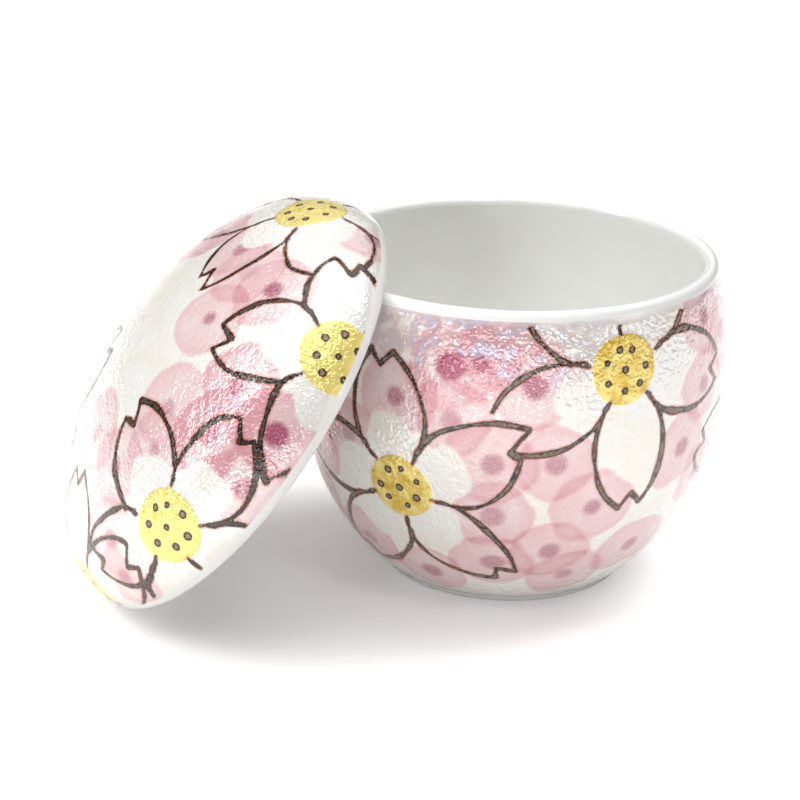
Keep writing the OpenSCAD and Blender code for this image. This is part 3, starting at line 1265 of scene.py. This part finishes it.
@dataclass
class Lid:
    """The lid: domed shell, rounded edge and a locating ring underneath. Sizes in mm.

    The ink's margin is how far the lines end from the edge, bare_edge is the shoulder's unpainted part in
    degrees, wash is how strong the dabs are, and zero is the direction of the painting's angle 0.
    """

    radius: float = 45.0
    height: float = 27.0
    shoulder: float = 17.0
    wall: float = 2.4
    ring_out: float = 35.8
    ring_wide: float = 5.2
    ring_bottom: float = 5.84
    ring_round: float = 0.8
    lean: float = 53.0
    ink_margin: float = 0.3
    fine: float = 0.5
    coarse: float = 2.0
    bare_edge: float = 3.0
    heart: float = 7.0
    wash: float = 0.85
    zero: float = 0.0
    seed: int = 23
    finishes: tuple[Finish, ...] = (
        Lustre("lid_painted_lustre", folds=1300.0, depth=0.18, gold=-0.1, wear=0.3),
        Glaze("lid_white_glaze", srgb(247, 246, 243), srgb(240, 239, 235)),
    )

    def section(self) -> Section:
        """Work out the half section.

        Returns:
            The section, from the axis under the dome round the edge to the dome's top.
        """
        bead = self.wall / 2
        shoulder_c = (self.radius - self.shoulder, bead)
        dome = self.height - bead
        crown = (shoulder_c[0] ** 2 + dome ** 2 - self.shoulder ** 2) / (2 * (dome - self.shoulder))
        crown_c = (0.0, self.height - crown)
        join = math.degrees(math.atan2(shoulder_c[1] - crown_c[1], shoulder_c[0]))
        inside, under = crown - self.wall, self.shoulder - self.wall
        ring_in = self.ring_out - self.ring_wide
        ring_a = math.degrees(math.acos(ring_in / inside))
        out_a = math.degrees(math.acos((self.ring_out - shoulder_c[0]) / under))
        corner = self.ring_round
        low = self.ring_bottom + corner

        section = Section()
        section.run(round_arc(crown_c, inside, 90, ring_a, self.coarse), Zone.GLAZED)
        section.line((ring_in, low), 1.5, Zone.GLAZED)
        section.run(round_arc((ring_in + corner, low), corner, 180, 270, 0.3), Zone.GLAZED)
        section.line((self.ring_out - corner, self.ring_bottom), 1.2, Zone.GLAZED)
        section.run(round_arc((self.ring_out - corner, low), corner, -90, 0, 0.3), Zone.GLAZED)
        root = shoulder_c[1] + under * math.sin(math.radians(out_a))
        section.line((self.ring_out, root), 1.5, Zone.GLAZED)
        section.run(round_arc(shoulder_c, under, out_a, 0, 1.2), Zone.GLAZED)
        section.run(round_arc((self.radius - bead, bead), bead, 180, 360, 0.4), Zone.GLAZED)
        section.run(round_arc(shoulder_c, self.shoulder, 0, self.bare_edge, self.fine), Zone.GLAZED)
        section.run(round_arc(shoulder_c, self.shoulder, self.bare_edge, join, self.fine), Zone.PAINTED)
        section.run(round_arc(crown_c, crown, join, 90, self.fine), Zone.PAINTED)
        return section

    def place(self, points: Array) -> Matrix:
        """Give the leaning lid's place, from the CAD lid's box.

        Args:
            points: The upright lid's points in mm.

        Returns:
            The place in mm.
        """
        tilt = Matrix.Rotation(-math.radians(self.lean), 4, "Y")
        leaning = points @ np.array(tilt.to_3x3()).T
        low, high = leaning.min(axis=0), leaning.max(axis=0)
        stands = [np.array(corner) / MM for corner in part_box("lid")]
        shift = (stands[0] + stands[1]) / 2 - (low + high) / 2
        shift[2] = stands[0][2] - low[2]
        return Matrix.Translation(Vector(shift)) @ tilt

    def paint(self, turned: Turned) -> None:
        """Paint the blossoms and the pink rounds, with places as angles and lengths from the dome's top.

        Args:
            turned: The turned lid.
        """
        canvas, painting = turned.canvas, turned.painting
        reach = canvas.end
        blossoms = (
            (-116.3, 45.3, 0.82, (
                Petal(86, 24.6),
                Petal(1, 24.3, 7.4),
                Petal(-71, 24),
                Petal(-125, 24),
                Petal(176, 24, 7.4),
            )),
            (-56.5, 52.7, 0.78, (
                Petal(95, 24.2),
                Petal(10, 20.6, 7.4),
                Petal(-60, 24),
                Petal(-120, 24),
                Petal(186, 25.5, 7.4),
            )),
            (-3.0, 42.8, 0.6, (
                Petal(107, 24.4, 7.2),
                Petal(192, 23, 8.2, 0.0, Tip.OPEN),
                Petal(262, 24),
                Petal(326, 24),
                Petal(38, 24),
            )),
            (64, 48, 0.8, five(95, 24)),
            (138, 31, 0.8, (
                Petal(94),
                Petal(160, 23),
                Petal(226, 23),
                Petal(292, 22),
                Petal(14, 16, 6.0),
            )),
            (-166, 52, 0.7, five(86, 25)),
        )
        for angle, along, weight, petals in blossoms:
            painting.blossom(Blossom(angle, reach - along, petals, self.heart, weight))
        dabs = (
            (-41.6, 36.5, 8.5, 2, 0.95), (-52.8, 24.5, 8, 1.6, 0.8), (-12.4, 28.1, 7.5, 1.9, 0.7),
            (18.6, 27.1, 7.5, 1.8, 0.6), (-17.1, 54, 7.5, 2, 0.7), (-94, 27.6, 8.5, 1.8, 0.5),
            (-128.7, 28.7, 8, 1.7, 0.6), (-147.5, 20, 8, 1.8, 0.5), (-139, 41, 8, 2, 0.6),
            (-140.1, 48.9, 7.5, 1.9, 0.6), (-94.2, 50.6, 8, 2, 0.8), (-30, 30, 8, 2, 0.25),
            (-108, 32, 8, 1.6, 0.5),
        )
        for angle, along, radius, dot, tone in dabs:
            painting.dab(Dab(angle, reach - along, radius, dot, tone, self.wash))
        deep_dabs = (
            (-79.7, 49.6, 8.2, 2.1, 1.1, 1.5),
            (-74, 38.3, 8.2, 2, 0.8, 1.7),
            (-89.6, 38.9, 8.4, 2.2, 0.8, 1.7),
        )
        for angle, along, radius, dot, tone, depth in deep_dabs:
            painting.dab(Dab(angle, reach - along, radius, dot, tone, depth))
        painting.scatter((30, 200), (reach - 52, reach - 40, reach - 28))
        painting.trim(turned.edge(), self.ink_margin)

    def dress(self, piece: bpy.types.Object, groups: Groups) -> None:
        """Put the finishes on the lid and tie it to the CAD lid.

        Args:
            piece: The lid.
            groups: The node groups of the finishes.
        """
        for finish in self.finishes:
            piece.data.materials.append(finish.material(groups))
        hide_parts("lid")
        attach(piece, "lid")

    def build(self, groups: Groups) -> bpy.types.Object:
        """Turn, paint and dress the lid.

        Args:
            groups: The node groups of the finishes.

        Returns:
            The lid.
        """
        turned = Turned(self.section(), self.zero, self.seed)
        self.paint(turned)
        piece = turned.make("porcelain_lid", self.place(turned.points))
        self.dress(piece, groups)
        return piece


def towards(azimuth: float, elevation: float) -> Vector:
    """Work out the direction from the pieces to something round them.

    Args:
        azimuth: Its direction in degrees, from the front (-Y) towards the right (+X).
        elevation: Its height in degrees above level.

    Returns:
        The direction, of length 1.
    """
    turn, rise = math.radians(azimuth), math.radians(elevation)
    level = math.cos(rise)
    return Vector((math.sin(turn) * level, -math.cos(turn) * level, math.sin(rise)))


@dataclass(frozen=True)
class Softbox:
    """A studio light: its azimuth and elevation in degrees, and its distance, width and height in m.

    Bright is its radiance, where a white surface that is lit evenly all round at 1 renders white.
    """

    name: str
    azimuth: float
    elevation: float
    distance: float
    wide: float
    tall: float
    bright: float

    def hang(self, aim: Vector) -> None:
        """Hang the light.

        Args:
            aim: Point that it faces.
        """
        away = towards(self.azimuth, self.elevation)
        data = bpy.data.lights.new(self.name, "AREA")
        data.shape = "RECTANGLE"
        data.size, data.size_y = self.wide, self.tall
        data.energy = self.bright * math.pi * self.wide * self.tall
        light = bpy.data.objects.new(self.name, data)
        light.location = aim + away * self.distance
        light.rotation_mode = "QUATERNION"
        light.rotation_quaternion = away.to_track_quat("Z", "Y")
        light.visible_camera = False
        bpy.context.scene.collection.objects.link(light)


@dataclass
class Studio:
    """White table, soft light and the photograph's camera. Lengths in m and angles in degrees.

    Surround is how bright the room is to the pieces. Round the middle of the pieces, the table's own
    glow rises from near_glow to white between the distances white_from and white_to.
    """

    azimuth: float = -14.66
    elevation: float = 20.65
    roll: float = 1.27
    distance: float = 0.45
    lens: float = 100.52
    aim: tuple[float, float, float] = (-0.02099, 0.00549, 0.03243)
    sensor: float = 36.0
    surround: float = 0.41
    table_half: float = 3.0
    table_white: Colour = (0.86, 0.86, 0.86, 1.0)
    middle: tuple[float, float, float] = (-0.03, -0.012, 0.0)
    near_glow: float = 0.23
    white_from: float = 0.034
    white_to: float = 0.085
    lamp_aim: tuple[float, float, float] = (-0.02, 0.0, 0.035)
    softboxes: tuple[Softbox, ...] = (
        Softbox("left", -84, 33, 0.8, 0.125, 0.7, 11.0),
        Softbox("front", -18, 0, 0.8, 1.0, 0.06, 8.0),
        Softbox("front_right", 48, 8, 0.8, 0.3, 0.1, 3.0),
        Softbox("front_high", 14, 54, 0.8, 0.17, 0.17, 7.5),
        Softbox("right", 100, 62, 0.9, 0.6, 0.6, 1.9),
        Softbox("overhead", -70, 78, 0.9, 0.9, 0.9, 2.15),
        Softbox("back", 165, 35, 0.9, 0.8, 0.6, 0.7),
    )

    def camera(self) -> None:
        """Set up the camera."""
        turn, roll = math.radians(self.azimuth), math.radians(self.roll)
        back = towards(self.azimuth, self.elevation)
        level = Vector((math.cos(turn), math.sin(turn), 0))
        above = back.cross(level)
        right = math.cos(roll) * level + math.sin(roll) * above
        up = math.cos(roll) * above - math.sin(roll) * level
        data = bpy.data.cameras.new("camera")
        data.lens = self.lens
        data.sensor_width = self.sensor
        data.clip_start, data.clip_end = 0.01, 20.0
        camera = bpy.data.objects.new("camera", data)
        facing = Matrix((right, up, back)).transposed().to_4x4()
        camera.matrix_world = Matrix.Translation(Vector(self.aim) + back * self.distance) @ facing
        bpy.context.scene.collection.objects.link(camera)
        bpy.context.scene.camera = camera

    def plain_rays(self, nodes: Nodes) -> Socket:
        """Tell the rays that see the background itself, straight or in a reflection.

        Args:
            nodes: Nodes of the background's material or of the world.

        Returns:
            1 for such rays and 0 for the others.
        """
        path = nodes.add("ShaderNodeLightPath")
        seen = nodes.math("MAXIMUM", path.outputs["Is Camera Ray"], path.outputs["Is Glossy Ray"])
        return nodes.math("MAXIMUM", seen, path.outputs["Is Transmission Ray"])

    def table(self) -> None:
        """Make the white table, which keeps the pieces' shadows and fades to white round them."""
        half = self.table_half
        mesh = bpy.data.meshes.new("table")
        corners = ((-half, -half, 0), (half, -half, 0), (half, half, 0), (-half, half, 0))
        mesh.from_pydata(corners, [], [(0, 1, 2, 3)])
        table = bpy.data.objects.new("table", mesh)
        bpy.context.scene.collection.objects.link(table)
        material = bpy.data.materials.new("table_white")
        material.use_nodes = True
        tree = material.node_tree
        tree.nodes.remove(tree.nodes["Principled BSDF"])
        nodes = Nodes(tree)
        plain = nodes.add("ShaderNodeBsdfDiffuse")
        plain.inputs["Color"].default_value = self.table_white
        # Painted light: the table glows for camera and reflected rays, less round the middle of the
        # pieces, between the lid and the cup, so the table is painted darker there, and white farther off
        glow = nodes.add("ShaderNodeEmission")
        where = nodes.add("ShaderNodeNewGeometry")
        far = nodes.add("ShaderNodeVectorMath", operation="DISTANCE")
        nodes.feed(far.inputs[0], where.outputs["Position"])
        far.inputs[1].default_value = self.middle
        away = nodes.step(far.outputs["Value"], self.white_from, self.white_to)
        level = nodes.span(away, self.near_glow, 1.0)
        nodes.feed(glow.inputs["Strength"], nodes.times(self.plain_rays(nodes), level))
        both = nodes.add("ShaderNodeAddShader")
        nodes.feed(both.inputs[0], plain.outputs[0])
        nodes.feed(both.inputs[1], glow.outputs[0])
        nodes.feed(tree.nodes["Material Output"].inputs["Surface"], both.outputs[0])
        mesh.materials.append(material)

    def light(self) -> None:
        """Set up the white surroundings and the softboxes."""
        world = bpy.data.worlds.new("white_room")
        world.use_nodes = True
        nodes = Nodes(world.node_tree)
        ground = world.node_tree.nodes["Background"]
        nodes.feed(ground.inputs["Strength"], nodes.span(self.plain_rays(nodes), self.surround, 1.0))
        bpy.context.scene.world = world
        for softbox in self.softboxes:
            softbox.hang(Vector(self.lamp_aim))

    def build(self) -> None:
        """Build the studio."""
        self.camera()
        self.table()
        self.light()
        bpy.context.scene.view_settings.view_transform = "Standard"


def main() -> None:
    """Build the studio, the cup and the lid, and log each piece's face count."""
    logging.basicConfig(level=logging.INFO, format="%(name)s: %(message)s")
    Studio().build()
    groups = Groups()
    for maker in (Cup(), Lid()):
        piece = maker.build(groups)
        LOG.info("%s: %d faces", piece.name, len(piece.data.polygons))


if __name__ == "__main__":
    main()
